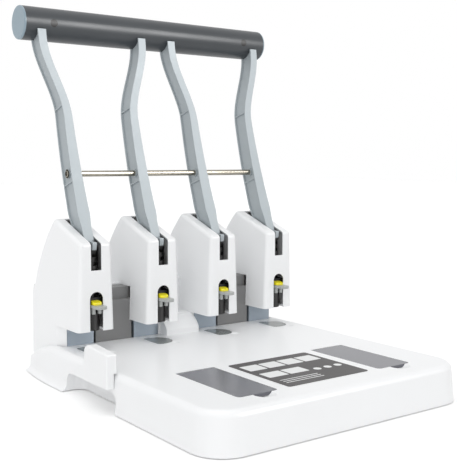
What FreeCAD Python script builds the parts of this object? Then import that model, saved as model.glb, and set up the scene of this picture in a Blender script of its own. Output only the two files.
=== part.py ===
import FreeCAD, Part
import math
import os
from FreeCAD import Vector

# Sizes in millimetres. X runs across the machine, Y from front to rear and Z up from the table.

# Punching: four holes on the standard pitch, set in from the edge of the sheet
punch_count = 4
hole_pitch = 80.0
hole_margin = 12.0
punch_back = 11.0
punch_radius = 3.0
punch_stroke = 20.0
throat_height = 20.5
tip_clearance = 0.5

# Fits between pieces
shaft_clearance = 0.05
slide_clearance = 0.3
panel_gap = 0.3

# Base: a deck moulding at the front, a tower moulding at the rear, a steel plate below
base_depth = 369.0
deck_width = 300.0
deck_height = 38.0
deck_draft = 2.5
deck_wall = 3.0
deck_corner_radius = 32.0
deck_edge_radius = 7.0
skirt_lift = 1.0
foot_height = 3.0
foot_radius = 10.0
foot_inset_x = 42.0
foot_inset_y = 34.0
base_plate_thickness = 2.0
base_plate_margin = 12.0
base_plate_corner = 26.0

# Hand grips under both sides of the deck
grip_length = 100.5
grip_height = 20.0
grip_depth = 16.0
grip_radius = 12.0
grip_arch_radius = 8.0
grip_wall = 3.0

# Side flanks: the deck's walls run on beside the towers and sink towards the rear
flank_start_back = 4.5
flank_level_back = 38.5
flank_rear_height = 17.0
flank_draw_in = 6.8
flank_bend_height = 9.0
flank_spread = 5.2
flank_top_width = 1.0

# Towers
tower_depth = 118.0
tower_foot_half_width = 20.8
tower_top_half_width = 18.0
tower_front_height = 148.5
tower_ridge_height = 171.0
tower_ridge_back = 63.0
tower_shoulder_back = 101.5
tower_shoulder_height = 119.0
tower_heel_height = 60.0
tower_edge_radius = 4.5
tower_wall = 2.5
slot_half_width = 5.9
slot_bottom = 121.0
slot_back = 60.0
window_half_width = 7.4
window_top = 99.0
lip_thickness = 0.8
lip_reach = 2.2

# Housing behind the towers
rear_body_back = 60.0
rear_body_height = 96.0
rear_corner_radius = 8.0
side_post_foot_back = 45.5
side_post_head_back = 56.0
post_inner_reach = 18.5
post_front_rise = 6.0
post_curve_back = 8.0
post_curve_rise = 15.0
post_rise = 19.0
gap_top = 95.0

# Dark panels that close the space between each pair of towers
panel_back = 37.5
panel_side_gap = 2.6
panel_thickness = 2.5
panel_ledge_height = 82.0
panel_step = 5.0

# Steel C-frame in each tower
frame_back = 37.0
frame_back_thickness = 5.0
frame_half_width = 15.5
frame_back_height = 112.0
lower_arm_front = -10.0
lower_arm_thickness = 6.0
upper_arm_front = 5.0
upper_arm_half_width = 12.0
upper_arm_thickness = 6.5
cheek_thickness = 3.0
cheek_gap = 13.0
cheek_front = 14.0
cheek_top = 145.0

# Punch, its guide sleeve and its return spring
sleeve_radius = 7.8
sleeve_top = 82.5
collar_radius = 6.0
collar_bottom = 121.0
collar_thickness = 4.0
head_radius = 4.5
head_thickness = 5.0
spring_outer_radius = 5.8
spring_inner_radius = 4.2

# Release latch above each sleeve
latch_half_width = 6.0
latch_thickness = 3.0
latch_reach = 15.5
latch_tail = 16.0
latch_leg = 3.3
latch_leg_drop = 6.5
latch_leg_offset = 3.4
latch_leg_front = 1.0
mark_half_width = 4.8
mark_length = 8.5
mark_front_thickness = 2.4
mark_rear_thickness = 4.4

# Cutting discs let into the deck
disc_radius = 17.5
disc_thickness = 3.0
disc_flat = 11.7
disc_centre_shift = -4.5
disc_centre_back = -3.0
disc_corner_radius = 3.5
disc_seat_rim = 3.0
disc_scoop_radius = 9.0
disc_scoop_depth = 1.8
disc_scoop_side = 8.0
disc_scoop_front = 22.0

# Deck furniture
lid_inner_x = 61.4
lid_outer_x = 104.2
lid_rear = -122.5
lid_length = 96.7
lid_thickness = 3.0
lid_pin_radius = 1.0
lid_pin_reach = 1.8
lid_corner_radius = 4.0
lid_scoop_radius = 13.5
lid_scoop_depth = 5.0
lid_scoop_side = 18.0
lid_scoop_front = 2.3
lid_scoop_backing = 4.0
well_ledge = 2.0
well_depth = 26.0
well_wall = 2.0
label_half_width = 48.7
label_rear = -127.8
label_length = 90.8
label_thickness = 0.4
label_corner = 3.0

# Side guide that draws out of the left wall
guide_length = 45.5
guide_thickness = 7.75
guide_lap = 3.6
guide_rear = -47.0
guide_bottom = 24.2
guide_top = 59.6
guide_front_drop = 3.2
guide_corner_radius = 8.0
guide_edge_radius = 1.8
rail_length = 28.0
rail_height = 6.0
rail_bottom = 26.0
rail_reach = 50.0
rail_wall = 2.0

# Lever
lever_swing = math.radians(95.0)
pivot_height = 135.5
pivot_radius = 4.0
pivot_length = 25.0
hub_radius = 7.0
cam_width = 5.0
cam_rise = 1.3
cam_gap = 0.3
arm_foot_height = 150.0
arm_foot_back = 14.3
arm_foot_depth = 24.0
arm_tongue_rise = 8.0
arm_tongue_front = 5.0
arm_recess = 1.6
arm_flange = 1.8
arm_neck_half_width = 5.3
arm_neck_height = 163.0
arm_shoulder_height = 175.0
arm_shoulder_half_width = 6.8
arm_half_width = 4.6
arm_taper_top = 290.0
arm_bend = 20.3
arm_bend_rise = 84.0
arm_bow = 8.75
arm_tip_depth = 18.5
arm_tip_drop = 7.0
rib_height = 288.0
rib_thickness = 1.6
rib_tilt = 18.0
rod_rib_drop = 10.0
rod_radius = 3.25
rod_height = 218.0
rod_forward = 1.5
rod_boss_radius = 4.6
rivet_radius = 3.6
rivet_thickness = 1.5
rivet_edge_radius = 1.0
tube_radius = 17.8
tube_wall = 2.5
tube_back = 96.0
tube_height = 376.5
handle_length = 318.0
cap_length = 2.0
cap_edge_radius = 1.4
cap_spigot = 10.0
plug_radius = 4.2
plug_reach = 126.0

# Screws that hold the base plate
screw_radius = 2.0
screw_length = 14.0
screw_head_radius = 3.8
screw_head_height = 1.5
boss_radius = 5.0

# Places worked out from the sizes above
rear_y = base_depth / 2
front_y = -base_depth / 2
face_y = rear_y - tower_depth
punch_y = face_y + punch_back
stop_y = punch_y + hole_margin
deck_half = deck_width / 2
deck_rear = face_y + frame_back - panel_gap
tower_bottom = deck_height + throat_height
plate_top = foot_height + base_plate_thickness
tower_x = [hole_pitch * (i - (punch_count - 1) / 2) for i in range(punch_count)]
cam_radius = punch_stroke / lever_swing
pivot_y = punch_y + cam_radius
tip_z = deck_height + tip_clearance + punch_stroke
head_top = pivot_height - cam_rise - cam_gap
latch_bottom = sleeve_top + slide_clearance
upper_arm_bottom = latch_bottom + latch_thickness + slide_clearance
upper_arm_top = upper_arm_bottom + upper_arm_thickness
frame_y = face_y + frame_back
disc_seat_bottom = deck_height - disc_thickness - deck_wall
tower_reach = tower_x[-1] + tower_foot_half_width
frame_reach = frame_half_width + panel_gap
flank_inner = tower_reach + panel_gap
flank_start = face_y + flank_start_back
flank_level = face_y + flank_level_back
flank_end = rear_y - rear_corner_radius
tube_y = face_y + tube_back
arm_tip_height = tube_height - arm_tip_drop
arm_bend_end = tube_height - 2 * arm_tip_drop


def box(x0, x1, y0, y1, z0, z1):
    return Part.makeBox(x1 - x0, y1 - y0, z1 - z0, Vector(x0, y0, z0))


def bar_x(radius, x0, x1, y, z):
    return Part.makeCylinder(radius, x1 - x0, Vector(x0, y, z), Vector(1, 0, 0))


def bar_z(radius, x, y, z0, z1):
    return Part.makeCylinder(radius, z1 - z0, Vector(x, y, z0))


def side(point):
    return Vector(0, point[0], point[1])


def front(point):
    return Vector(point[0], 0, point[1])


def plan(point):
    return Vector(point[0], point[1], 0)


def outline(view, start, *steps):
    """A closed face: each step is the next corner, or a (via, end) pair for an arc."""
    edges = []
    last = view(start)
    for step in steps + (start,):
        if isinstance(step[0], tuple):
            edges.append(Part.Arc(last, view(step[0]), view(step[1])).toShape())
            last = view(step[1])
        elif view(step).distanceToPoint(last) > 1e-6:
            edges.append(Part.LineSegment(last, view(step)).toShape())
            last = view(step)
    return Part.Face(Part.Wire(edges))


def along_x(face, x0, x1):
    return face.translated(Vector(x0, 0, 0)).extrude(Vector(x1 - x0, 0, 0))


def along_y(face, y0, y1):
    return face.translated(Vector(0, y0, 0)).extrude(Vector(0, y1 - y0, 0))


def along_z(face, z0, z1):
    return face.translated(Vector(0, 0, z0)).extrude(Vector(0, 0, z1 - z0))


def spline(view, points):
    curve = Part.BSplineCurve()
    curve.interpolate([view(point) for point in points])
    return curve.toShape()


def upright(edge):
    """True for an edge that climbs more than it runs sideways."""
    run = edge.Vertexes[-1].Point - edge.Vertexes[0].Point
    return abs(run.z) > math.hypot(run.x, run.y)


def fuse(shapes):
    return shapes[0].multiFuse(shapes[1:]).removeSplitter()


def both_sides(shape):
    return [shape, shape.mirror(Vector(0, 0, 0), Vector(1, 0, 0))]


def save(name, shape):
    shape.exportStep("parts/" + name + ".step")
    print(name, "solids", len(shape.Solids), "valid", shape.isValid(), "volume", round(shape.Volume))


# Deck moulding: a drafted tray, open below

def deck_block(inset):
    """The deck's outer form, drawn in by inset on every wall and under the top."""
    half = deck_half - inset
    top = deck_height - inset
    foot = half + deck_draft
    nose = front_y + inset
    across = outline(front, (-foot, skirt_lift), (-half, top), (half, top), (foot, skirt_lift))
    along = outline(side, (nose, skirt_lift), (nose + deck_draft, top), (deck_rear, top),
                    (deck_rear, skirt_lift))
    block = along_y(across, nose, deck_rear).common(along_x(along, -foot, foot))
    corners = [e for e in block.Edges if upright(e) and e.CenterOfMass.y < 0]
    block = block.makeFillet(deck_corner_radius - inset, corners)
    if inset:
        return block
    rim = [e for e in block.Edges if e.BoundBox.ZMin > top - deck_wall
           and e.CenterOfMass.y < deck_rear - deck_wall]
    return block.makeFillet(deck_edge_radius, rim)


def wall_x(z):
    """The drafted side wall's distance from the middle at height z."""
    return deck_half + deck_draft * (deck_height - z) / (deck_height - skirt_lift)


def disc_block(x, grow, z0, z1):
    """A round disc with one straight side on its left and rounded ends to it, grown by a margin."""
    centre = x + disc_centre_shift
    radius = disc_radius + grow
    left = x - disc_flat - grow
    half = math.sqrt(radius ** 2 - (left - centre) ** 2)
    y = punch_y + disc_centre_back
    block = along_z(outline(plan, (left, y - half), ((centre + radius, y), (left, y + half))), z0, z1)
    ends = [e for e in block.Edges if upright(e) and e.BoundBox.XMax < centre]
    return block.makeFillet(disc_corner_radius + grow, ends)


def lid_plan(grow, x_side):
    """The lid's rectangle, widened by grow, on the right or the left of the deck."""
    x0 = lid_inner_x - grow
    x1 = lid_outer_x + grow
    y1 = face_y + lid_rear + grow
    y0 = y1 - lid_length - 2 * grow
    if x_side > 0:
        return x0, x1, y0, y1
    return -x1, -x0, y0, y1


def lid_block(grow, x_side, z0, z1):
    """The lid's plan, widened by grow, with its two front corners rounded."""
    x0, x1, y0, y1 = lid_plan(grow, x_side)
    block = box(x0, x1, y0, y1, z0, z1)
    corners = [e for e in block.Edges if upright(e) and e.CenterOfMass.y < (y0 + y1) / 2]
    return block.makeFillet(lid_corner_radius + grow, corners)


def lid_scoop_place(x_side):
    """The middle of the finger hollow in front of a lid."""
    x0, x1, y0, y1 = lid_plan(panel_gap, x_side)
    return x1 - lid_scoop_side, y0 - lid_scoop_front


def scoop(x, y, radius, depth):
    """A finger hollow in the deck's top, as a ball to cut away."""
    return Part.makeSphere(radius, Vector(x, y, deck_height + radius - depth))


lid_pin_z = deck_height - lid_thickness / 2
lid_pin_y = face_y + lid_rear - lid_thickness / 2
well_floor = deck_height - lid_thickness - well_depth
grip_rear = flank_start
grip_front = grip_rear - grip_length
guide_y1 = face_y + guide_rear
guide_y0 = guide_y1 - guide_length
guide_face = wall_x(guide_bottom) + panel_gap
rail_y0 = (guide_y0 + guide_y1 - rail_length) / 2
rail_y1 = rail_y0 + rail_length
boss_places = [(x * (deck_half - base_plate_margin - 2 * boss_radius), y)
               for x in (-1, 1) for y in (front_y + 2 * deck_corner_radius, grip_front - 2 * boss_radius)]
rear_boss_places = [(x * hole_pitch, rear_y - base_plate_margin - 2 * boss_radius) for x in (-1, 1)]


def flank_section(y):
    """The left flank cut across at y: a rounded top, a drafted wall and a foot that spreads."""
    share = max(y - flank_level, 0.0) / (flank_end - flank_level)
    top = deck_height - (deck_height - flank_rear_height) * share ** 2
    draw = flank_draw_in * share ** 2
    edge = wall_x(top) - draw
    radius = min(deck_edge_radius, edge - flank_inner - flank_top_width)
    nip = radius * (1 - math.sqrt(0.5))
    bend = wall_x(flank_bend_height) - draw
    foot = wall_x(skirt_lift) - draw + flank_spread
    waist = (bend + (foot - bend) / 3, skirt_lift + (flank_bend_height - skirt_lift) / 3)
    face = outline(front, (-flank_inner, top), (radius - edge, top),
                   ((nip - edge, top - nip), (draw - wall_x(top - radius), top - radius)),
                   (-bend, flank_bend_height), ((-waist[0], waist[1]), (-foot, skirt_lift)),
                   (-flank_inner, skirt_lift))
    return face.translated(Vector(0, y, 0))


def flank():
    """The left flank: level beside the throat, then drawn in and down to its rear end."""
    level = flank_section(flank_start).extrude(Vector(0, flank_level - flank_start, 0))
    steps = 5
    places = [flank_level + (flank_end - flank_level) * i / steps for i in range(steps + 1)]
    tail = Part.makeLoft([flank_section(y).OuterWire for y in places], True, False)
    return level.fuse(tail)


def grip_hollow():
    """The left hand grip as a block to cut away, arched at both ends and rounded inside."""
    r = grip_arch_radius
    nip = r * (1 - math.sqrt(0.5))
    y0 = grip_front
    y1 = grip_rear
    top = grip_height
    arch = outline(side, (y0, 0), (y0, top - r), ((y0 + nip, top - nip), (y0 + r, top)), (y1 - r, top),
                   ((y1 - nip, top - nip), (y1, top - r)), (y1, 0))
    outer = wall_x(0) + 2 * flank_spread
    room = box(-outer - grip_radius, -deck_half + grip_depth, y0, y1, 0, top)
    room = room.makeFillet(grip_radius, [e for e in room.Edges if upright(e)])
    return along_x(arch, -outer, -deck_half + grip_depth).common(room)


def deck_housing():
    beside = box(-deck_half - 2 * deck_draft, -flank_inner, flank_start, rear_y, 0, deck_height + deck_wall)
    body = deck_block(0.0).cut(both_sides(beside))
    body = body.fuse(both_sides(flank())).removeSplitter()
    deck = body.cut(deck_block(deck_wall))
    additions = []
    for x in tower_x:
        seat = disc_block(x, disc_seat_rim, disc_seat_bottom, deck_height - deck_wall)
        additions.append(seat.common(body))
    scoop_reach = math.sqrt(lid_scoop_depth * (2 * lid_scoop_radius - lid_scoop_depth))
    for x_side in (-1, 1):
        x0, x1, y0, y1 = lid_plan(well_wall, x_side)
        additions.append(box(x0, x1, y0, y1, well_floor - well_wall, deck_height - deck_wall))
        x, y = lid_scoop_place(x_side)
        additions.append(box(x - scoop_reach, x + scoop_reach, y - scoop_reach, y0 + well_wall,
                             deck_height - deck_wall - lid_scoop_backing, deck_height - deck_wall))
    grip = box(-deck_half - deck_draft, -deck_half + grip_depth + grip_wall, grip_front - grip_wall,
               grip_rear + grip_wall, skirt_lift, grip_height + grip_wall)
    additions += [piece.common(body) for piece in both_sides(grip)]
    rail_box = box(-deck_half + deck_wall, -deck_half + rail_reach, rail_y0 - rail_wall - slide_clearance,
                   rail_y1 + rail_wall + slide_clearance, rail_bottom - rail_wall - slide_clearance,
                   deck_height - deck_wall)
    additions.append(rail_box.common(body))
    for x, y in boss_places:
        additions.append(bar_z(boss_radius, x, y, plate_top, deck_height - deck_wall))
    deck = fuse([deck] + additions)

    cuts = []
    for x in tower_x:
        cuts.append(disc_block(x, panel_gap, deck_height - disc_thickness, deck_height + deck_wall))
        cuts.append(scoop(x + disc_scoop_side, punch_y - disc_scoop_front, disc_scoop_radius,
                          disc_scoop_depth))
    for x_side in (-1, 1):
        x0, x1, y0, y1 = lid_plan(panel_gap, x_side)
        cuts.append(lid_block(panel_gap, x_side, deck_height - lid_thickness - panel_gap,
                              deck_height + deck_wall))
        cuts.append(bar_x(lid_pin_radius + shaft_clearance, x0 - lid_pin_reach, x1 + lid_pin_reach,
                          lid_pin_y, lid_pin_z))
        cuts.append(scoop(*lid_scoop_place(x_side), lid_scoop_radius, lid_scoop_depth))
        x0, x1, y0, y1 = lid_plan(-well_ledge, x_side)
        cuts.append(box(x0, x1, y0, y1, well_floor, deck_height))
    cuts += both_sides(grip_hollow())
    cuts.append(box(-deck_half - 2 * deck_draft, -deck_half + rail_reach, rail_y0 - slide_clearance,
                    rail_y1 + slide_clearance, rail_bottom - slide_clearance,
                    rail_bottom + rail_height + slide_clearance))
    for x, y in boss_places:
        cuts.append(bar_z(screw_radius, x, y, plate_top, plate_top + screw_length))
    return deck.cut(cuts)


# Tower moulding: four drafted towers on one rear body

def tower_half_width(z):
    slope = (tower_foot_half_width - tower_top_half_width) / (tower_front_height - tower_bottom)
    return tower_foot_half_width - slope * (z - tower_bottom)


def rear_profile(inset, bottom, from_back):
    """The housing seen from the side, behind from_back, drawn in by inset."""
    front_top = tower_front_height - inset
    ridge = (face_y + tower_ridge_back, tower_ridge_height - inset)
    shoulder = (face_y + tower_shoulder_back - inset, tower_shoulder_height - inset)
    heel = (rear_y - inset, tower_heel_height)
    return outline(side, (face_y + from_back, bottom), (face_y + from_back, front_top), ridge,
                   (shoulder, heel), (rear_y - inset, bottom))


def tower(x, inset):
    bottom = tower_bottom + inset
    foot = tower_half_width(bottom) - inset
    top = tower_half_width(tower_ridge_height) - inset
    wedge = outline(front, (x - foot, bottom), (x - top, tower_ridge_height),
                    (x + top, tower_ridge_height), (x + foot, bottom))
    body = along_x(rear_profile(inset, skirt_lift, inset), x - foot, x + foot)
    body = body.common(along_y(wedge, face_y, rear_y))
    if inset:
        return body
    heel = [e for e in body.Edges if e.BoundBox.YMin > rear_y - tower_wall and not upright(e)]
    edges = [e for e in body.Edges if e.BoundBox.ZMax > bottom + tower_wall and e not in heel]
    return body.makeFillet(tower_edge_radius, edges)


def rounded_block(inset):
    """All the room inside the housing's rounded rear corners, drawn in by inset."""
    half = tower_reach - inset
    block = box(-half, half, front_y, rear_y - inset, 0, tower_ridge_height)
    return block.makeFillet(rear_corner_radius - inset, [e for e in block.Edges
                                                         if upright(e) and e.CenterOfMass.y > 0])


def side_post():
    """The left post beside the outer frame, its front corner cut back more at the head than at the foot."""
    inner = tower_x[0] - frame_reach
    post = box(-tower_reach, inner, frame_y, face_y + rear_body_back, skirt_lift, tower_bottom)
    ends = []
    for back, z in ((side_post_foot_back, skirt_lift), (side_post_head_back, tower_bottom)):
        corner = outline(plan, (-tower_reach, frame_y), (inner, frame_y), (-tower_reach, face_y + back))
        ends.append(corner.translated(Vector(0, 0, z)).OuterWire)
    return post.cut(Part.makeLoft(ends, True, True))


def middle_post():
    """The post between the two middle frames: narrow at the paper stop and full behind it."""
    half = hole_pitch / 2 - post_inner_reach
    back = face_y + rear_body_back
    curve = (stop_y + post_curve_back, deck_height + post_curve_rise)
    stop = along_x(outline(side, (stop_y, deck_height), (stop_y, deck_height + post_front_rise),
                           (curve, (back, deck_height + post_rise)), (back, deck_height)), -half, half)
    full = hole_pitch / 2 - frame_reach
    return stop.fuse(box(-full, full, frame_y, back, skirt_lift, tower_bottom))


def front_openings(x):
    """The arm's slot and the sleeve's arched window, with the wall thinned to a lip round both."""
    spring_line = window_top - window_half_width
    arm_slot = box(x - slot_half_width, x + slot_half_width, front_y, face_y + slot_back, slot_bottom,
                   tower_ridge_height + tower_wall)
    window = box(x - window_half_width, x + window_half_width, front_y, punch_y, 0, spring_line)
    arch = Part.makeCylinder(window_half_width, punch_y - front_y, Vector(x, front_y, spring_line),
                             Vector(0, 1, 0))
    half = slot_half_width + lip_reach
    room = along_x(rear_profile(lip_thickness, slot_bottom - lip_reach, lip_thickness), x - half, x + half)
    room = room.common(box(x - half, x + half, face_y, face_y + slot_back + lip_reach,
                           slot_bottom - lip_reach, tower_ridge_height))
    half = window_half_width + lip_reach
    inside = face_y + lip_thickness
    window_room = box(x - half, x + half, inside, punch_y, 0, spring_line)
    arch_room = Part.makeCylinder(half, punch_y - inside, Vector(x, inside, spring_line), Vector(0, 1, 0))
    return [arm_slot, window, arch, room, window_room, arch_room]


def rear_housing():
    reach = tower_reach
    shoulder = tower_x[-1] + tower_half_width(rear_body_height)
    rear_body = along_x(rear_profile(0.0, skirt_lift, rear_body_back), -reach, reach)
    rear_body = rear_body.common(along_y(outline(
        front, (-reach, skirt_lift), (-reach, tower_bottom), (-shoulder, rear_body_height),
        (shoulder, rear_body_height), (reach, tower_bottom), (reach, skirt_lift)), face_y, rear_y))
    posts = both_sides(side_post()) + [middle_post()]
    outer = fuse([tower(x, 0.0) for x in tower_x] + [rear_body] + posts).common(rounded_block(0.0))

    wall = tower_wall
    post_y = face_y + rear_body_back
    cuts = [tower(x, wall) for x in tower_x]
    for x in tower_x:
        cuts.append(box(x - frame_reach, x + frame_reach, frame_y, post_y + wall, 0, tower_bottom + wall))
    full = hole_pitch / 2 - frame_reach - wall
    cuts.append(box(-full, full, frame_y + wall, post_y + wall, 0, tower_bottom - wall))
    inner_rear = along_x(rear_profile(wall, 0, rear_body_back + wall), -reach + wall, reach - wall)
    inner_rear = inner_rear.common(box(-reach, reach, face_y, rear_y, 0, rear_body_height - wall))
    cuts.append(inner_rear.common(rounded_block(wall)))
    plate_half = deck_half - base_plate_margin + panel_gap
    cuts.append(box(-plate_half, plate_half, face_y, rear_y - base_plate_margin + panel_gap, 0, plate_top))
    gap_half = hole_pitch / 2 - frame_half_width
    for x in (tower_x[0] + hole_pitch / 2, tower_x[-1] - hole_pitch / 2):
        cuts.append(box(x - gap_half, x + gap_half, face_y + panel_back - panel_gap, post_y, 0, gap_top))
    for x in tower_x:
        cuts += front_openings(x)
        cuts.append(bar_z(sleeve_radius + panel_gap, x, punch_y, 0, sleeve_top))
    housing = outer.cut(cuts)
    bosses = [bar_z(boss_radius, x, y, plate_top, rear_body_height - wall) for x, y in rear_boss_places]
    housing = fuse([housing] + bosses)
    return housing.cut([bar_z(screw_radius, x, y, plate_top, plate_top + screw_length)
                        for x, y in rear_boss_places])


# Pieces under and between the mouldings

def base_plate():
    half = deck_half - base_plate_margin
    plate = box(-half, half, front_y + base_plate_margin, rear_y - base_plate_margin, foot_height, plate_top)
    plate = plate.makeFillet(base_plate_corner, [e for e in plate.Edges if upright(e)])
    inner = deck_half - grip_depth - grip_wall - panel_gap
    notch = box(inner, deck_half, grip_front - grip_wall - panel_gap, grip_rear + grip_wall + panel_gap,
                0, deck_height)
    holes = [bar_z(screw_radius, x, y, 0, deck_height) for x, y in boss_places + rear_boss_places]
    return plate.cut(both_sides(notch) + holes)


def rubber_feet():
    places = [(x * (deck_half - foot_inset_x), y) for x in (-1, 1)
              for y in (front_y + foot_inset_y, face_y, rear_y - foot_inset_y)]
    return Part.Compound([bar_z(foot_radius, x, y, 0, foot_height) for x, y in places])


def base_screws():
    screws = []
    for x, y in boss_places + rear_boss_places:
        head = bar_z(screw_head_radius, x, y, foot_height - screw_head_height, foot_height)
        screws.append(head.fuse(bar_z(screw_radius, x, y, foot_height, plate_top + screw_length)))
    return Part.Compound(screws)


def inner_panel(x_middle):
    half = hole_pitch / 2 - frame_half_width - panel_side_gap
    y = face_y + panel_back
    step = y + panel_step
    back = face_y + rear_body_back - panel_gap
    top = gap_top - panel_gap
    t = panel_thickness
    profile = outline(side, (y, plate_top), (y, panel_ledge_height), (step, panel_ledge_height), (step, top),
                      (back, top), (back, top - t), (step + t, top - t), (step + t, panel_ledge_height - t),
                      (y + t, panel_ledge_height - t), (y + t, plate_top))
    return along_x(profile, x_middle - half, x_middle + half)


def press_frame(x):
    back = frame_y + frame_back_thickness
    pieces = [
        box(x - frame_half_width, x + frame_half_width, frame_y, back, plate_top, frame_back_height),
        box(x - frame_half_width, x + frame_half_width, face_y + lower_arm_front, frame_y,
            disc_seat_bottom - lower_arm_thickness, disc_seat_bottom),
        box(x - upper_arm_half_width, x + upper_arm_half_width, face_y + upper_arm_front, frame_y,
            upper_arm_bottom, upper_arm_top),
    ]
    for sign in (-1, 1):
        inner = x + sign * cheek_gap / 2
        outer = inner + sign * cheek_thickness
        x0 = min(inner, outer)
        x1 = max(inner, outer)
        cheek = outline(side, (face_y + cheek_front, upper_arm_top), (face_y + cheek_front, cheek_top),
                        (frame_y, cheek_top), (back, frame_back_height), (back, upper_arm_top))
        pieces.append(along_x(cheek, x0, x1))
        rail_x0 = x + sign * (latch_half_width + slide_clearance)
        rail_x1 = x + sign * upper_arm_half_width
        pieces.append(box(min(rail_x0, rail_x1), max(rail_x0, rail_x1), punch_y, frame_y, sleeve_top,
                          upper_arm_bottom))
    frame = fuse(pieces)
    bore = bar_z(punch_radius + shaft_clearance, x, punch_y, sleeve_top, upper_arm_top)
    return frame.cut([pivot_pin(x), bore])


def guide_sleeve(x):
    sleeve = bar_z(sleeve_radius, x, punch_y, tower_bottom, sleeve_top)
    return sleeve.cut(bar_z(punch_radius + shaft_clearance, x, punch_y, tower_bottom, sleeve_top))


def pivot_pin(x):
    return bar_x(pivot_radius, x - pivot_length / 2, x + pivot_length / 2, pivot_y, pivot_height)


def cutting_disc(x):
    return disc_block(x, 0.0, deck_height - disc_thickness, deck_height)


def label_plate():
    y1 = face_y + label_rear
    plate = box(-label_half_width, label_half_width, y1 - label_length, y1, deck_height,
                deck_height + label_thickness)
    return plate.makeFillet(label_corner, [e for e in plate.Edges if upright(e)])


# Pieces that move by hand on the deck

def storage_lid(x_side):
    x0, x1, y0, y1 = lid_plan(0.0, x_side)
    round_edge = lid_thickness / 2
    plate = lid_block(0.0, x_side, deck_height - lid_thickness, deck_height)
    plate = plate.cut(box(x0, x1, lid_pin_y, y1, deck_height - lid_thickness, deck_height))
    roll = bar_x(round_edge, x0, x1, lid_pin_y, lid_pin_z)
    pin = bar_x(lid_pin_radius, x0 - lid_pin_reach, x1 + lid_pin_reach, lid_pin_y, lid_pin_z)
    return fuse([plate, roll, pin])


def side_guide():
    cheek = outline(side, (guide_y0, guide_bottom), (guide_y0, guide_top - guide_front_drop),
                    (guide_y1, guide_top), (guide_y1, guide_bottom))
    block = along_x(cheek, -guide_face - guide_thickness, -guide_face + guide_lap)
    corner = [e for e in block.Edges if e.BoundBox.ZMin > guide_top - guide_front_drop / 2]
    block = block.makeFillet(guide_corner_radius, corner)
    rim = [e for e in block.Edges if e.BoundBox.ZMax > guide_bottom + guide_edge_radius]
    block = block.makeFillet(guide_edge_radius, rim)
    block = block.cut(box(-guide_face, -guide_face + guide_lap, guide_y0, guide_y1, guide_bottom,
                          deck_height + panel_gap))
    rail = box(-guide_face - guide_thickness / 2, -deck_half + rail_reach - slide_clearance, rail_y0, rail_y1,
               rail_bottom, rail_bottom + rail_height)
    return fuse([block, rail])


# Punch units

def punch_pin(x):
    shank = bar_z(punch_radius, x, punch_y, tip_z, head_top)
    collar = bar_z(collar_radius, x, punch_y, collar_bottom, collar_bottom + collar_thickness)
    head = bar_z(head_radius, x, punch_y, head_top - head_thickness, head_top)
    return fuse([shank, collar, head])


def return_spring(x):
    coil = bar_z(spring_outer_radius, x, punch_y, upper_arm_top, collar_bottom)
    return coil.cut(bar_z(spring_inner_radius, x, punch_y, upper_arm_top, collar_bottom))


def latch(x):
    tip = face_y - latch_reach
    tail = punch_y + latch_tail
    z0 = latch_bottom
    z1 = z0 + latch_thickness
    w = latch_half_width
    tongue = outline(plan, (x - w, tail), (x - w, tip + w), ((x, tip), (x + w, tip + w)), (x + w, tail))
    slot = punch_radius + slide_clearance
    fork = box(x - slot, x + slot, punch_y - slot, tail, z0, z1)
    tongue = along_z(tongue, z0, z1).cut(fork)
    legs = []
    for sign in (-1, 1):
        middle = x + sign * latch_leg_offset
        legs.append(box(middle - latch_leg / 2, middle + latch_leg / 2, face_y - latch_leg_front,
                        face_y + tower_wall - panel_gap, z0 - latch_leg_drop, z0))
    return fuse([tongue] + legs)


def latch_mark(x):
    z0 = latch_bottom + latch_thickness
    y1 = face_y + upper_arm_front - panel_gap
    y0 = y1 - mark_length
    wedge = outline(side, (y0, z0), (y0, z0 + mark_front_thickness), (y1, z0 + mark_rear_thickness), (y1, z0))
    pad = along_x(wedge, x - mark_half_width, x + mark_half_width)
    return pad.makeFillet(mark_half_width / 2, [e for e in pad.Edges if upright(e)])


# Lever: four cast arms, a cross rod and a tubular handle

def bowed_edge(foot, tip):
    """An edge of the arm in the side view, bowed back between its two ends."""
    return ((foot[0] + tip[0]) / 2 + arm_bow, (foot[1] + tip[1]) / 2)


arm_front_foot = (face_y + arm_foot_back, arm_foot_height)
arm_front_tip = (tube_y - arm_tip_depth, arm_tip_height)
arm_rear_foot = (face_y + arm_foot_back + arm_foot_depth, arm_foot_height)
arm_rear_tip = (tube_y, arm_bend_end)


def strip(foot, tip, thickness):
    """A band in the side view along one bowed edge of the arm, as thick along Y as given."""
    far_foot = (foot[0] + thickness, foot[1])
    far_tip = (tip[0] + thickness, tip[1])
    near_bow = bowed_edge(foot, tip)
    far_bow = bowed_edge(far_foot, far_tip)
    return outline(side, foot, (near_bow, tip), far_tip, (far_bow, far_foot))


def arm_centre_y(z):
    """Where the arm's middle line stands at height z."""
    share = (z - arm_foot_height) / (arm_tip_height - arm_foot_height)
    foot_y = (arm_front_foot[0] + arm_rear_foot[0]) / 2
    tip_y = (arm_front_tip[0] + arm_rear_tip[0]) / 2
    return foot_y + (tip_y - foot_y) * share + 4 * arm_bow * share * (1 - share)


rod_y = arm_centre_y(rod_height) - rod_forward


def arm_middle(z):
    """How far the arm has bent sideways at height z."""
    share = min(max((z - arm_bend_end) / arm_bend_rise + 1, 0.0), 1.0)
    return arm_bend * share ** 2 * (3 - 2 * share)


def arm_half(z):
    """Half the flange's width at height z."""
    if z < arm_shoulder_height:
        share = max(z - arm_neck_height, 0.0) / (arm_shoulder_height - arm_neck_height)
        return arm_neck_half_width + (arm_shoulder_half_width - arm_neck_half_width) * share
    share = min((z - arm_shoulder_height) / (arm_taper_top - arm_shoulder_height), 1.0)
    return arm_shoulder_half_width + (arm_half_width - arm_shoulder_half_width) * share


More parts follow.
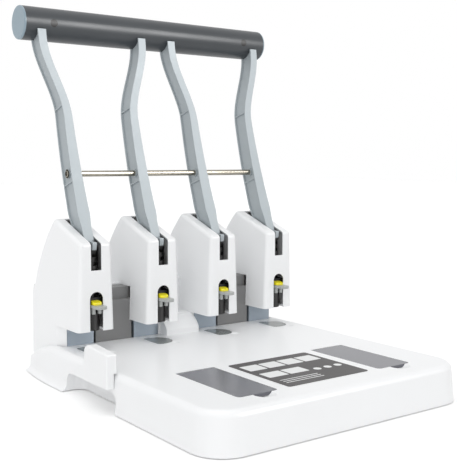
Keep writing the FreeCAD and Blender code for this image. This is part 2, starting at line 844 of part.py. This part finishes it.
def bent_band(half_width, z0, z1):
    """The arm's sideways sweep in the front view, as a deep block to cut strips with."""
    steps = 24
    heights = [z0 + (z1 - z0) * i / steps for i in range(steps + 1)]
    left = [(arm_middle(z) - half_width(z), z) for z in heights]
    right = [(arm_middle(z) + half_width(z), z) for z in heights]
    edges = [spline(front, left), Part.LineSegment(front(left[-1]), front(right[-1])).toShape(),
             spline(front, right), Part.LineSegment(front(right[0]), front(left[0])).toShape()]
    return along_y(Part.Face(Part.Wire(Part.__sortEdges__(edges))), front_y, rear_y + tube_back)


def lever_cam():
    """The plate in the arm's foot: a hub on the pivot, and an involute that stays over the punch."""
    steps = 8
    curve = []
    for i in range(steps + 1):
        turn = lever_swing * (1 - i / steps)
        drop = cam_rise + cam_radius * turn
        curve.append((pivot_y - cam_radius * math.cos(turn) - drop * math.sin(turn),
                      pivot_height + cam_radius * math.sin(turn) - drop * math.cos(turn)))
    hub_y = pivot_y - math.sqrt(hub_radius ** 2 - cam_rise ** 2)
    hub_start = (hub_y, pivot_height - cam_rise)
    hub_low = (pivot_y, pivot_height - hub_radius)
    hub_end = (pivot_y + hub_radius, pivot_height)
    tongue_y = arm_front_foot[0] + arm_tongue_front
    tongue_z = arm_foot_height + arm_tongue_rise
    edges = [spline(side, curve), Part.LineSegment(side(curve[-1]), side(hub_start)).toShape(),
             Part.Arc(side(hub_start), side(hub_low), side(hub_end)).toShape()]
    corners = [hub_end, arm_rear_foot, (arm_rear_foot[0], tongue_z), (tongue_y, tongue_z),
               (tongue_y, arm_foot_height), arm_front_foot, curve[0]]
    for start, end in zip(corners, corners[1:]):
        edges.append(Part.LineSegment(side(start), side(end)).toShape())
    plate = along_x(Part.Face(Part.Wire(edges)), -cam_width / 2, cam_width / 2)
    bore = bar_x(pivot_radius + shaft_clearance, -cam_width, cam_width, pivot_y, pivot_height)
    return plate.cut(bore)


def lever_arm():
    """One arm, standing at X = 0 and bending towards +X."""
    low = arm_foot_height - arm_flange
    high = arm_tip_height + arm_flange
    flange_band = bent_band(arm_half, low, high)
    web_band = bent_band(lambda z: arm_half(z) - arm_recess, low, high)
    front_bow = bowed_edge(arm_front_foot, arm_front_tip)
    rear_bow = bowed_edge(arm_rear_foot, arm_rear_tip)
    sheet = outline(side, arm_front_foot, (front_bow, arm_front_tip), arm_rear_tip, (rear_bow, arm_rear_foot))
    reach = arm_bend + 2 * arm_shoulder_half_width
    slab = along_x(sheet, -reach, reach)
    front_strip = strip(arm_front_foot, arm_front_tip, arm_flange)
    rear_strip = strip(arm_rear_foot, arm_rear_tip, -arm_flange)
    front_flange = along_x(front_strip, -reach, reach).common(flange_band)
    rear_flange = along_x(rear_strip, -reach, reach).common(flange_band)
    web = slab.common(web_band)
    filled = slab.common(flange_band)
    ribs = []
    for height in (rib_height, rod_height - rod_rib_drop):
        layer = box(-reach, reach, face_y, rear_y + tube_back, height - rib_thickness / 2,
                    height + rib_thickness / 2)
        layer.rotate(Vector(0, arm_centre_y(height), height), Vector(1, 0, 0), -rib_tilt)
        ribs.append(filled.common(layer))
    boss = bar_x(rod_boss_radius, -arm_half(rod_height), arm_half(rod_height), rod_y, rod_height)
    arm = fuse([front_flange, rear_flange, web, boss] + ribs)
    rod = bar_x(rod_radius, -reach, reach, rod_y, rod_height)
    tube = bar_x(tube_radius, -handle_length, handle_length, tube_y, tube_height)
    return arm.cut([rod, tube, lever_cam()])


def cross_rod():
    half = tower_x[-1] + arm_half(rod_height)
    return bar_x(rod_radius, -half, half, rod_y, rod_height)


def rod_rivets():
    half = tower_x[-1] + arm_half(rod_height)
    head = bar_x(rivet_radius, half, half + rivet_thickness, rod_y, rod_height)
    rim = [e for e in head.Edges if e.BoundBox.XMin > half + rivet_edge_radius / 2]
    return Part.Compound(both_sides(head.makeFillet(rivet_edge_radius, rim)))


def plug_cutters(radius, depth):
    """The plugs' places: two facing forward near the handle's ends and one on top in the middle."""
    pegs = [Part.makeCylinder(radius, depth, Vector(x, tube_y - tube_radius, tube_height), Vector(0, 1, 0))
            for x in (-plug_reach, plug_reach)]
    pegs.append(Part.makeCylinder(radius, depth, Vector(0, tube_y, tube_height + tube_radius),
                                  Vector(0, 0, -1)))
    return pegs


def handle_tube():
    half = handle_length / 2 - cap_length
    tube = bar_x(tube_radius, -half, half, tube_y, tube_height)
    tube = tube.cut(bar_x(tube_radius - tube_wall, -half, half, tube_y, tube_height))
    return tube.cut(plug_cutters(plug_radius, 2 * tube_wall))


def handle_plugs():
    skin = bar_x(tube_radius, -handle_length, handle_length, tube_y, tube_height)
    bore = bar_x(tube_radius - tube_wall, -handle_length, handle_length, tube_y, tube_height)
    return Part.Compound([peg.common(skin).cut(bore) for peg in plug_cutters(plug_radius, 2 * tube_wall)])


def handle_cap():
    end = handle_length / 2
    cap = bar_x(tube_radius, end - cap_length, end, tube_y, tube_height)
    cap = cap.makeFillet(cap_edge_radius, [e for e in cap.Edges if e.BoundBox.XMin > end - cap_length / 2])
    spigot = bar_x(tube_radius - tube_wall, end - cap_length - cap_spigot, end - cap_length, tube_y,
                   tube_height)
    return fuse([cap, spigot])


os.makedirs("parts", exist_ok=True)

save("deck_housing", deck_housing())
save("rear_housing", rear_housing())
save("base_plate", base_plate())
save("rubber_feet", rubber_feet())
save("base_screws", base_screws())
save("label_plate", label_plate())
save("inner_panel_left", inner_panel(tower_x[0] + hole_pitch / 2))
save("inner_panel_right", inner_panel(tower_x[-1] - hole_pitch / 2))
save("storage_lid_left", storage_lid(-1))
save("storage_lid_right", storage_lid(1))
save("side_guide", side_guide())

arm = lever_arm()
mirrored_arm = arm.mirror(Vector(0, 0, 0), Vector(1, 0, 0))
cam = lever_cam()
for index, x in enumerate(tower_x):
    number = str(index + 1)
    save("press_frame_" + number, press_frame(x))
    save("guide_sleeve_" + number, guide_sleeve(x))
    save("pivot_pin_" + number, pivot_pin(x))
    save("cutting_disc_" + number, cutting_disc(x))
    save("punch_pin_" + number, punch_pin(x))
    save("return_spring_" + number, return_spring(x))
    save("latch_" + number, latch(x))
    save("latch_mark_" + number, latch_mark(x))
    bent = mirrored_arm if index % 2 == 0 else arm
    save("lever_arm_" + number, bent.translated(Vector(x, 0, 0)))
    save("lever_cam_" + number, cam.translated(Vector(x, 0, 0)))

cap_right = handle_cap()
save("handle_tube", handle_tube())
save("handle_plugs", handle_plugs())
save("handle_cap_right", cap_right)
save("handle_cap_left", cap_right.mirror(Vector(0, 0, 0), Vector(1, 0, 0)))
save("cross_rod", cross_rod())
save("rod_rivets", rod_rivets())
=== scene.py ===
import math

import bpy
from mathutils import Matrix, Vector


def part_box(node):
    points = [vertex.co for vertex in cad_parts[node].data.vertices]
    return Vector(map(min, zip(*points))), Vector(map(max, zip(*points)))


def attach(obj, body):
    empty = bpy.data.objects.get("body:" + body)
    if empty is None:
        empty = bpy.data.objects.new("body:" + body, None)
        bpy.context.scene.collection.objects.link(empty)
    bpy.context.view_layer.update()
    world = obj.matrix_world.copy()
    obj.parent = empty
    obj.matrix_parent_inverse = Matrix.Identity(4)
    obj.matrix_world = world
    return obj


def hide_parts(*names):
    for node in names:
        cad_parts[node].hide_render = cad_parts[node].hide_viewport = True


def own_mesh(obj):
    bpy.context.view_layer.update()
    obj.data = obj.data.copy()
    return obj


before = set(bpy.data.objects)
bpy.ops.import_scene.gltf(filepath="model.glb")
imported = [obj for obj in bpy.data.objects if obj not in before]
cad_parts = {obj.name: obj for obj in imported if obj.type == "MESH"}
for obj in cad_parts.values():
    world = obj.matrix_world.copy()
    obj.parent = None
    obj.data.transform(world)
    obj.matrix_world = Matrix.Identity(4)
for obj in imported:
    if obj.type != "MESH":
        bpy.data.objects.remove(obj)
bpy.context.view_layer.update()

# Base plate: a pressed steel sheet that closes both mouldings from below.
# It is lacquered black in a dip, so it shows a soft orange peel and a few duller patches.
mm = 0.001
merge_gap = 0.002
flat_angle = 0.3
grain_strength = 0.35


def linear(hex_colour):
    """An sRGB hex colour as linear RGBA."""
    shares = [int(hex_colour[i:i + 2], 16) / 255 for i in (0, 2, 4)]
    return [c / 12.92 if c <= 0.04045 else ((c + 0.055) / 1.055) ** 2.4 for c in shares] + [1.0]


def add_node(tree, kind, values=None, links=None, **options):
    """Adds a node, sets its options and input values, and links other nodes' outputs to its inputs."""
    node = tree.nodes.new(kind)
    for name, value in options.items():
        setattr(node, name, value)
    for name, value in (values or {}).items():
        node.inputs[name].default_value = value
    for name, output in (links or {}).items():
        tree.links.new(output, node.inputs[name])
    return node


def surface(name, light, dark, smooth, rough, grain_mm, depth_mm, patch_mm=45.0, stretch=(1, 1, 1),
            **shader):
    """A finish whose colour and roughness drift in soft patches, with a grain of its own size and depth."""
    material = bpy.data.materials.new(name)
    material.use_nodes = True
    tree = material.node_tree
    principled = tree.nodes["Principled BSDF"]
    for socket, value in shader.items():
        principled.inputs[socket.replace("_", " ")].default_value = value
    place = add_node(tree, "ShaderNodeTexCoord").outputs["Object"]
    drawn = add_node(tree, "ShaderNodeMapping", {"Scale": stretch}, {"Vector": place}).outputs["Vector"]
    patches = add_node(tree, "ShaderNodeTexNoise", {"Scale": 1 / (patch_mm * mm), "Detail": 3.0},
                       {"Vector": drawn}).outputs["Fac"]
    grain = add_node(tree, "ShaderNodeTexNoise", {"Scale": 1 / (grain_mm * mm), "Detail": 2.0},
                     {"Vector": drawn}).outputs["Fac"]
    mixed = add_node(tree, "ShaderNodeMix", {6: linear(dark), 7: linear(light)}, {0: patches},
                     data_type="RGBA").outputs[2]
    tree.links.new(mixed, principled.inputs["Base Color"])
    both = add_node(tree, "ShaderNodeMath", links={0: patches, 1: grain}, operation="MULTIPLY").outputs[0]
    spread = add_node(tree, "ShaderNodeMapRange",
                      {"From Min": 0.1, "From Max": 0.4, "To Min": smooth, "To Max": rough},
                      {"Value": both}).outputs["Result"]
    tree.links.new(spread, principled.inputs["Roughness"])
    bump = add_node(tree, "ShaderNodeBump", {"Strength": grain_strength, "Distance": depth_mm * mm},
                    {"Height": grain})
    tree.links.new(bump.outputs["Normal"], principled.inputs["Normal"])
    return material


def alone(piece):
    """Makes a piece the only selected and the active object."""
    bpy.ops.object.select_all(action="DESELECT")
    piece.select_set(True)
    bpy.context.view_layer.objects.active = piece


def finished_copy(node, name, edge_mm, sharp_degrees=28.0):
    """A new piece from a CAD node's mesh: merged, flats joined, sharp edges broken and curves smooth."""
    piece = bpy.data.objects.new(name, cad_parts[node].data.copy())
    bpy.context.scene.collection.objects.link(piece)
    alone(piece)
    bpy.ops.object.mode_set(mode="EDIT")
    bpy.ops.mesh.select_all(action="SELECT")
    bpy.ops.mesh.remove_doubles(threshold=merge_gap * mm)
    bpy.ops.mesh.dissolve_limited(angle_limit=math.radians(flat_angle))
    bpy.ops.object.mode_set(mode="OBJECT")
    if edge_mm:
        edge = piece.modifiers.new("broken_edges", "BEVEL")
        edge.width = edge_mm * mm
        edge.segments = 2
        edge.angle_limit = math.radians(sharp_degrees)
        bpy.ops.object.modifier_apply(modifier=edge.name)
    bpy.ops.object.shade_smooth_by_angle(angle=math.radians(sharp_degrees))
    shading = piece.modifiers.new("even_shading", "WEIGHTED_NORMAL")
    shading.keep_sharp = True
    bpy.ops.object.modifier_apply(modifier=shading.name)
    return piece


def fit(piece, body, slot, material, *stands_for):
    """Gives a piece its finish, the body it moves with and the CAD nodes it stands for. The slot argument
    is not used.
    """
    piece.data.materials.clear()
    piece.data.materials.append(material)
    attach(piece, body)
    if stands_for:
        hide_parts(*stands_for)


lacquered_steel = surface("black_lacquered_steel", "34373A", "26282A", 0.35, 0.5, 1.2, 0.03,
                          Coat_Weight=0.2)
fit(finished_copy("base_plate", "lacquered_plate", 0.4), "base", "base_steel", lacquered_steel,
    "base_plate")

# Rubber feet: six round pads, moulded in black rubber and glued into the plate.
# The rubber is dull and a little dusty, and each pad's rim is rounded.
foot_rubber = surface("moulded_rubber", "2A2A2A", "1B1B1B", 0.75, 0.9, 0.9, 0.05)
fit(finished_copy("rubber_feet", "foot_pads", 1.0), "base", "foot_rubber", foot_rubber, "rubber_feet")

# Base screws: six pan-head screws with a cross recess, driven from below into the mouldings' bosses.
# Zinc plating is pale and uneven in gloss. Two bars for each head are cut out of it as its recess.
screws_of_a_side = ((128.0, -120.5), (128.0, -39.5), (80.0, 162.5))
screw_places = [(side * x, y) for side in (-1, 1) for x, y in screws_of_a_side]
recess_bars = ((4.4, 1.1), (1.1, 4.4))
recess_depth = 0.9
screw_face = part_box("base_screws")[0][2]
zinc_steel = surface("zinc_plated_steel", "9AA4AE", "88929C", 0.36, 0.5, 1.0, 0.02, Metallic=0.5)
screws = finished_copy("base_screws", "plated_screws", 0.3)
bpy.ops.object.select_all(action="DESELECT")
cutters = []
for x, y in screw_places:
    for length, width in recess_bars:
        bpy.ops.mesh.primitive_cube_add(size=1.0, location=(x * mm, y * mm, screw_face),
                                        scale=(length * mm, width * mm, 2 * recess_depth * mm))
        cutters.append(bpy.context.object)
for cutter in cutters:
    cutter.select_set(True)
bpy.ops.object.join()
recesses = bpy.context.object
alone(screws)
cross = screws.modifiers.new("cross_recess", "BOOLEAN")
cross.operation = "DIFFERENCE"
cross.object = recesses
cross.use_self = True
bpy.ops.object.modifier_apply(modifier=cross.name)
bpy.data.objects.remove(recesses)
fit(screws, "base", "frame_steel", zinc_steel, "base_screws")

# Deck: a white ABS tray that carries the paper, with side walls and hand grips under both sides.
# It is injection moulded with a fine satin grain, drawn coarser here so that it shows.
white_abs = surface("white_satin_abs", "F1F2F3", "EDEEEF", 0.3, 0.42, 1.1, 0.012, 120.0, IOR=1.53)
fit(finished_copy("deck_housing", "deck_tray", 0.4), "base", "white_abs", white_abs, "deck_housing")

# Cutting discs: four plain plastic discs, dropped into the deck under the punches.
# They are moulded with a half-gloss face and turned round when it is worn.
punches = (1, 2, 3, 4)
disc_plastic = surface("half_gloss_disc_plastic", "7A807F", "6F7574", 0.2, 0.28, 0.8, 0.004, IOR=1.42)
for number in punches:
    fit(finished_copy(f"cutting_disc_{number}", f"punching_disc_{number}", 0.5), "base", "disc_plastic",
        disc_plastic, f"cutting_disc_{number}")

# Storage lids: two thin grey plates over the wells, hinged on pins at their rear edge.
# They are moulded in ABS with a half-gloss face that mirrors the towers a little.
sides = ("left", "right")
lid_abs = surface("grey_lid_abs", "66676E", "616269", 0.2, 0.26, 0.9, 0.002, IOR=1.53)
for side in sides:
    fit(finished_copy(f"storage_lid_{side}", f"well_lid_{side}", 0.3), f"lid_{side}", "lid_plastic",
        lid_abs, f"storage_lid_{side}")

# Label: a dark film stuck on the deck between the lids, with blank pale tiles screen printed on it.
# Film and ink are both satin. Each group of tiles starts as one grid, and every cell is inset and rounded.
label_film = surface("dark_label_film", "454343", "3D3B3B", 0.42, 0.55, 0.8, 0.004)
fit(finished_copy("label_plate", "deck_film", 0.1), "base", "label_film", label_film, "label_plate")
tile_ink = surface("pale_tile_ink", "E9EAEA", "DFE0E0", 0.45, 0.6, 0.6, 0.004)
ink_thickness = 0.06
film_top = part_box("label_plate")[1][2]
tile_groups = (("rear_tiles", (0.0, -82.5), (90.0, 21.0), (4, 1), 2.4, 1.0),
               ("front_tiles", (-20.0, -111.5), (50.0, 19.0), (2, 1), 2.4, 1.0),
               ("round_marks", (27.0, -119.0), (39.0, 13.0), (3, 1), 5.0, 3.9),
               ("note_bars", (-20.0, -136.5), (48.0, 13.5), (1, 3), 3.2, 0.4))
for name, centre, size, cells, tile_gap, tile_corner in tile_groups:
    bpy.ops.object.select_all(action="DESELECT")
    bpy.ops.mesh.primitive_grid_add(x_subdivisions=cells[0], y_subdivisions=cells[1], size=1.0,
                                    location=(centre[0] * mm, centre[1] * mm, film_top))
    tiles = bpy.context.object
    tiles.name = f"label_{name}"
    tiles.scale = (size[0] * mm, size[1] * mm, 1.0)
    bpy.ops.object.transform_apply(location=True, rotation=True, scale=True)
    bpy.ops.object.mode_set(mode="EDIT")
    bpy.ops.mesh.select_mode(type="FACE")
    bpy.ops.mesh.select_all(action="SELECT")
    bpy.ops.mesh.inset(thickness=tile_gap * mm / 2, use_individual=True)
    bpy.ops.mesh.select_all(action="INVERT")
    bpy.ops.mesh.delete(type="FACE")
    bpy.ops.mesh.select_all(action="SELECT")
    bpy.ops.mesh.bevel(offset=tile_corner * mm, segments=4, affect="VERTICES")
    bpy.ops.object.mode_set(mode="OBJECT")
    ink = tiles.modifiers.new("ink_film", "SOLIDIFY")
    ink.thickness = ink_thickness * mm
    ink.offset = 1.0
    bpy.ops.object.modifier_apply(modifier=ink.name)
    fit(tiles, "base", "label_film", tile_ink)

# Side guide: a white ABS block on a rail, drawn out of the left wall to line up the sheets.
# Its rail runs in the deck's left wall, and it has the same moulded grain.
fit(finished_copy("side_guide", "paper_guide", 0.4), "guide", "white_abs", white_abs, "side_guide")

# Press frames: four C-shaped steel frames that take the punching force.
# They are laser cut from plate and zinc plated. Above a height line inside the tower they are near black,
# as painted shade where the tower's slot is dark.
frame_shade_line = 66.0
shade_fade = 1.0


def with_painted_shade(material, name, shade_colour, line_mm, side):
    """A copy of a finish with a painted shade colour above a height (side 1) or below it (side -1)."""
    finish = material.copy()
    finish.name = name
    tree = finish.node_tree
    base = tree.nodes["Principled BSDF"].inputs["Base Color"]
    place = add_node(tree, "ShaderNodeTexCoord").outputs["Object"]
    height = add_node(tree, "ShaderNodeSeparateXYZ", links={0: place}).outputs["Z"]
    fade = side * shade_fade / 2 * mm
    share = add_node(tree, "ShaderNodeMapRange",
                     {"From Min": line_mm * mm - fade, "From Max": line_mm * mm + fade}, {"Value": height})
    unshaded_colour = base.links[0].from_socket
    mixed = add_node(tree, "ShaderNodeMix", {7: linear(shade_colour)},
                     {0: share.outputs["Result"], 6: unshaded_colour}, data_type="RGBA").outputs[2]
    tree.links.new(mixed, base)
    return finish


# Zinc steel below the line, and near black painted shade above it inside the tower.
frame_steel_with_shade = with_painted_shade(zinc_steel, "frame_steel_painted_shade", "1A1A1B", frame_shade_line, 1)
for number in punches:
    fit(finished_copy(f"press_frame_{number}", f"steel_frame_{number}", 0.3), "base", "frame_steel",
        frame_steel_with_shade, f"press_frame_{number}")

# Inner panels: dark ABS covers between each outer pair of towers.
# They are moulded with a matt spark-eroded grain and clipped behind the towers.
panel_abs = surface("dark_panel_abs", "858585", "777777", 0.35, 0.5, 0.9, 0.02)
for side in sides:
    fit(finished_copy(f"inner_panel_{side}", f"gap_panel_{side}", 0.5), "base", "panel_plastic", panel_abs,
        f"inner_panel_{side}")

# Tower moulding: one white ABS shell with four towers and the rear body.
# It is moulded with the deck's satin grain and screwed to the base plate.
fit(finished_copy("rear_housing", "tower_shell", 0.5), "base", "white_abs", white_abs, "rear_housing")

# Guide sleeves: black acetal bushes in the towers' arched windows, which keep each punch straight.
# Turned and milled acetal is deep black with a waxy gloss.
black_acetal = surface("black_acetal", "1B1919", "131111", 0.32, 0.46, 0.8, 0.01)
for number in punches:
    fit(finished_copy(f"guide_sleeve_{number}", f"acetal_sleeve_{number}", 0.4), "base", "black_plastic",
        black_acetal, f"guide_sleeve_{number}")

# Punches: turned from tool steel and hardened.
# They are coloured near black with a faint oily gloss, and the near black is painted shade inside the
# towers.
shaded_dark_steel = surface("shaded_dark_tool_steel", "211F20", "181717", 0.45, 0.6, 0.9, 0.01)
for number in punches:
    fit(finished_copy(f"punch_pin_{number}", f"hardened_punch_{number}", 0.3), f"punch_{number}",
        "tool_steel", shaded_dark_steel, f"punch_pin_{number}")

# Pivot pins: turned from tool steel and ground, pressed into the frames' cheeks.
# Grinding leaves fine lines round the pins, drawn coarser here so that they show.
ground_steel = surface("ground_tool_steel", "C9CACC", "B9BBBE", 0.12, 0.25, 0.6, 0.004, stretch=(8, 1, 1),
                       Metallic=1.0)
for number in punches:
    fit(finished_copy(f"pivot_pin_{number}", f"ground_pivot_{number}", 0.4), "base", "tool_steel",
        ground_steel, f"pivot_pin_{number}")

# Return springs: wound from hard steel wire round each punch, between the frame and the punch's collar.
# One wire section is turned up into a coil and copied to the other towers. The wire's near black is painted
# shade inside the towers.
spring_radius = 5.0
wire_radius = 0.8
wire_sides = 12
coil_turns = 5
coil_steps = 24
spring_low, spring_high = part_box("return_spring_1")
spring_axis = [(spring_low[i] + spring_high[i]) / 2 for i in (0, 1)]
spring_length = spring_high[2] - spring_low[2]
bpy.ops.object.select_all(action="DESELECT")
first_turn = (spring_axis[0], spring_axis[1], spring_low[2] + wire_radius * mm)
bpy.ops.mesh.primitive_circle_add(vertices=wire_sides, radius=wire_radius * mm, location=first_turn,
                                  rotation=(math.pi / 2, 0, 0))
first_spring = bpy.context.object
first_spring.name = "wound_spring_1"
bpy.ops.object.transform_apply(location=False, rotation=True, scale=True)
bpy.ops.object.mode_set(mode="EDIT")
bpy.ops.mesh.select_all(action="SELECT")
bpy.ops.transform.translate(value=(spring_radius * mm, 0, 0))
bpy.ops.object.mode_set(mode="OBJECT")
coil = first_spring.modifiers.new("coil", "SCREW")
coil.axis = "Z"
coil.screw_offset = (spring_length - 2 * wire_radius * mm) / coil_turns
coil.iterations = coil_turns
coil.steps = coil_steps
coil.render_steps = coil_steps
bpy.ops.object.modifier_apply(modifier=coil.name)
bpy.ops.object.transform_apply(location=True, rotation=True, scale=True)
bpy.ops.object.mode_set(mode="EDIT")
bpy.ops.mesh.select_all(action="SELECT")
bpy.ops.mesh.remove_doubles(threshold=merge_gap * mm)
bpy.ops.mesh.fill_holes(sides=0)
bpy.ops.mesh.select_all(action="SELECT")
bpy.ops.mesh.normals_make_consistent(inside=False)
bpy.ops.object.mode_set(mode="OBJECT")
bpy.ops.object.shade_smooth_by_angle(angle=math.radians(50))
for number in punches:
    spring = first_spring
    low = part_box(f"return_spring_{number}")[0]
    if number > 1:
        spring = bpy.data.objects.new(f"wound_spring_{number}", first_spring.data.copy())
        bpy.context.scene.collection.objects.link(spring)
        spring.data.transform(Matrix.Translation((low[0] - spring_low[0], 0, 0)))
    fit(spring, "base", "tool_steel", shaded_dark_steel, f"return_spring_{number}")
    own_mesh(spring)

# Latches: grey nylon tongues over the sleeves, each with a yellow ABS pad welded on.
# The nylon is matt, the pad brighter and glossier.
latch_nylon = surface("grey_latch_nylon", "AEB1AF", "A0A3A1", 0.3, 0.42, 0.7, 0.01)
mark_abs = surface("yellow_mark_abs", "FFF22E", "F6E724", 0.2, 0.3, 0.7, 0.006)
for number in punches:
    fit(finished_copy(f"latch_{number}", f"release_tongue_{number}", 0.4), f"latch_{number}",
        "latch_plastic", latch_nylon, f"latch_{number}")
    fit(finished_copy(f"latch_mark_{number}", f"tongue_pad_{number}", 0.4), f"latch_{number}",
        "mark_plastic", mark_abs, f"latch_mark_{number}")

# Lever arms: four die-cast aluminium arms with an I-section, each turning on its pivot pin.
# They are sprayed with a silver lacquer, so the casting's skin shows through as a soft grain.
casting = surface("lacquered_casting", "AAB2B6", "9EA6AA", 0.34, 0.46, 0.9, 0.02, Metallic=0.1)
for number in punches:
    fit(finished_copy(f"lever_arm_{number}", f"cast_arm_{number}", 0.7), "lever", "cast_arm", casting,
        f"lever_arm_{number}")

# Lever cams: hardened steel plates let into the arms' feet, which press on the punches' heads.
# They have the arms' lacquer colour above a line over the working curve, and are near black below it as
# painted shade in the tower's slot.
cam_shade_line = 141.5
cam_with_painted_shade = with_painted_shade(casting, "cam_steel_painted_shade", "1D1B1C", cam_shade_line, -1)
for number in punches:
    fit(finished_copy(f"lever_cam_{number}", f"shaded_cam_{number}", 0.4), "lever", "cam_steel",
        cam_with_painted_shade, f"lever_cam_{number}")

# Cross rod: a drawn stainless bar through the four arms, with a rivet head at each end.
# Drawing leaves fine lines along the bar. The rivets' faces are dimpled by the setting tool.
stainless = surface("drawn_stainless", "B6B0A4", "A09A8E", 0.18, 0.3, 0.5, 0.006, stretch=(0.05, 1, 1),
                    Metallic=1.0)
fit(finished_copy("cross_rod", "stainless_rod", 0.0), "lever", "rod_steel", stainless, "cross_rod")


def dish(piece, wanted, rim_mm, depth_mm):
    """Sinks the middle of each face that the wanted test accepts, and leaves a rim round it."""
    alone(piece)
    bpy.ops.object.mode_set(mode="EDIT")
    bpy.ops.mesh.select_mode(type="FACE")
    bpy.ops.mesh.select_all(action="DESELECT")
    bpy.ops.object.mode_set(mode="OBJECT")
    for face in piece.data.polygons:
        face.select = wanted(face)
    bpy.ops.object.mode_set(mode="EDIT")
    bpy.ops.mesh.inset(thickness=rim_mm * mm, depth=-depth_mm * mm, use_individual=True)
    bpy.ops.object.mode_set(mode="OBJECT")


rivet_rim = 2.0
rivet_dimple = 0.8
rivets = finished_copy("rod_rivets", "rivet_heads", 0.3)
outer_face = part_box("rod_rivets")[1][0] - 0.01 * mm
dish(rivets, lambda face: abs(face.normal.x) > 0.99 and abs(face.center.x) > outer_face, rivet_rim,
     rivet_dimple)
fit(rivets, "lever", "rod_steel", stainless, "rod_rivets")

# Handle: a powder-coated steel tube, with a plug in each of its three screw holes and a cap at each end.
# Powder coat is satin with an orange peel. The plugs are black acetal, the caps ABS.
tube_coat = surface("powder_coated_tube", "404448", "393D41", 0.3, 0.4, 0.9, 0.012)
fit(finished_copy("handle_tube", "coated_tube", 0.3), "lever", "handle_paint", tube_coat, "handle_tube")
fit(finished_copy("handle_plugs", "tube_plugs", 0.3), "lever", "black_plastic", black_acetal,
    "handle_plugs")
cap_abs = surface("blue_grey_cap_abs", "8EA0AB", "8698A3", 0.25, 0.36, 0.8, 0.01)
for side in sides:
    fit(finished_copy(f"handle_cap_{side}", f"end_cap_{side}", 0.0), "lever", "cap_plastic", cap_abs,
        f"handle_cap_{side}")

# Floor and backdrop: a plain white floor under an even white sky, which keeps the punch's soft shadow.
# What the lens and mirror-like faces see of them is lifted to white by the kind of ray.
floor_glow = 0.14
floor_side = 12.0
floor_white = 0.9
ambient = 0.71


def seen_directly(tree):
    """1 for what the lens, a reflection or glass shows, and 0 for light on its way to the object."""
    rays = add_node(tree, "ShaderNodeLightPath").outputs
    plain = add_node(tree, "ShaderNodeMath", links={0: rays["Is Camera Ray"], 1: rays["Is Glossy Ray"]},
                     operation="MAXIMUM").outputs[0]
    return add_node(tree, "ShaderNodeMath", links={0: plain, 1: rays["Is Transmission Ray"]},
                    operation="MAXIMUM").outputs[0]


bpy.ops.object.select_all(action="DESELECT")
bpy.ops.mesh.primitive_plane_add(size=floor_side, location=(0, 0, 0))
floor = bpy.context.object
floor.name = "studio_floor"
floor_paint = bpy.data.materials.new("studio_floor_paint")
floor_paint.use_nodes = True
floor_tree = floor_paint.node_tree
floor_shader = floor_tree.nodes["Principled BSDF"]
floor_shader.inputs["Base Color"].default_value = (floor_white, floor_white, floor_white, 1)
floor_shader.inputs["Roughness"].default_value = 0.6
floor_shader.inputs["Specular IOR Level"].default_value = 0.1
floor_shader.inputs["Emission Color"].default_value = (1, 1, 1, 1)
glow = add_node(floor_tree, "ShaderNodeMath", {1: floor_glow}, {0: seen_directly(floor_tree)},
                operation="MULTIPLY").outputs[0]
floor_tree.links.new(glow, floor_shader.inputs["Emission Strength"])
floor.data.materials.append(floor_paint)

world = bpy.data.worlds.new("studio")
bpy.context.scene.world = world
world.use_nodes = True
sky = world.node_tree
strength = add_node(sky, "ShaderNodeMapRange", {"To Min": ambient, "To Max": 1.0},
                    {"Value": seen_directly(sky)}).outputs["Result"]
backdrop = sky.nodes["Background"]
backdrop.inputs["Color"].default_value = (1, 1, 1, 1)
sky.links.new(strength, backdrop.inputs["Strength"])

# Light: two wide soft lights, from overhead and from the front left, and a small softbox on the right.
# The softbox only shows as a reflection, the bright band along the handle.
light_spread = 50
softbox_spot = Vector((0.8, -1.5, 0.85))
softbox_target = Vector((0, 0.05, 0.12))
softbox_side = 0.8
softbox_watts = 24.0
soft_lights = (("overhead_light", (-0.1, 0.0, 1.0), 0.26),
               ("front_left_light", (-0.62, -0.70, 0.36), 0.2))
for name, spot, share in soft_lights:
    lamp = bpy.data.lights.new(name, "SUN")
    lamp.angle = math.radians(light_spread)
    lamp.energy = share * math.pi
    light = bpy.data.objects.new(name, lamp)
    bpy.context.scene.collection.objects.link(light)
    light.rotation_euler = Vector(spot).to_track_quat("Z", "Y").to_euler()
softbox_lamp = bpy.data.lights.new("front_softbox", "AREA")
softbox_lamp.size = softbox_side
softbox_lamp.energy = softbox_watts
softbox = bpy.data.objects.new("front_softbox", softbox_lamp)
bpy.context.scene.collection.objects.link(softbox)
softbox.visible_diffuse = False
softbox.location = softbox_spot
softbox.rotation_euler = (softbox_target - softbox_spot).to_track_quat("-Z", "Y").to_euler()

# Camera: a short telephoto view from the front left, a little above the deck.
# Its place was worked out from the towers' even pitch.
camera_spot = (-0.5200, -0.7023, 0.2360)
camera_yaw = math.radians(36.37)
camera_pitch = math.radians(-5.02)
camera_roll = math.radians(0.23)
camera_lens = 66.05
camera_data = bpy.data.cameras.new("photo_camera")
camera_data.lens = camera_lens
camera_data.sensor_width = 36.0
camera = bpy.data.objects.new("photo_camera", camera_data)
bpy.context.scene.collection.objects.link(camera)
turn = (Matrix.Rotation(-camera_yaw, 4, "Z") @ Matrix.Rotation(math.pi / 2 + camera_pitch, 4, "X")
        @ Matrix.Rotation(camera_roll, 4, "Z"))
camera.matrix_world = Matrix.Translation(camera_spot) @ turn
bpy.context.scene.camera = camera
bpy.context.scene.view_settings.view_transform = "Standard"
